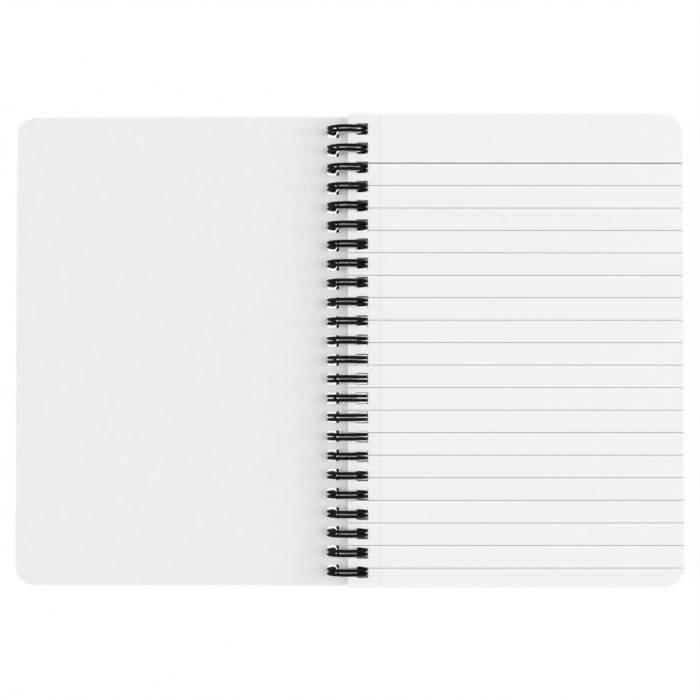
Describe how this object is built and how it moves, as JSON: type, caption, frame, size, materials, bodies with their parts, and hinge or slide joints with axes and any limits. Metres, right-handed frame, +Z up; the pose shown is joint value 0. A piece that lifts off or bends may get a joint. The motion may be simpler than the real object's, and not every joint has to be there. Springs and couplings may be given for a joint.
{
  "type": "open spiral notebook",
  "caption": "A5 ruled notebook with white card covers on a black twin-loop wire, lying open flat at its first page.",
  "frame": {"origin": "on the table under the middle of the binding, halfway along the spine", "axes": "+X to the ruled page, +Y to the head of the page, +Z up"},
  "size_m": [0.2962, 0.209, 0.0181],
  "materials": {
    "cover_card": "uncoated white card, matt",
    "ruled_paper": "smooth uncoated white paper with thin grey rules",
    "coated_wire": "round steel wire with a glossy black coating"
  },
  "bodies": {
    "base": {"back_cover": "cover_card", "twin_loop_wire": "coated_wire"},
    "pages": {"page_block": "ruled_paper"},
    "front": {"front_cover": "cover_card"}
  },
  "joints": [
    {"name": "front_cover_turn", "type": "hinge", "parent": "base", "child": "front", "pos_m": [0, 0, 0.00907], "axis": [0, 1, 0], "range_deg": [0, 181]},
    {"name": "page_block_turn", "type": "hinge", "parent": "base", "child": "pages", "pos_m": [0, 0, 0.00907], "axis": [0, 1, 0], "range_deg": [-180, 0]}
  ]
}
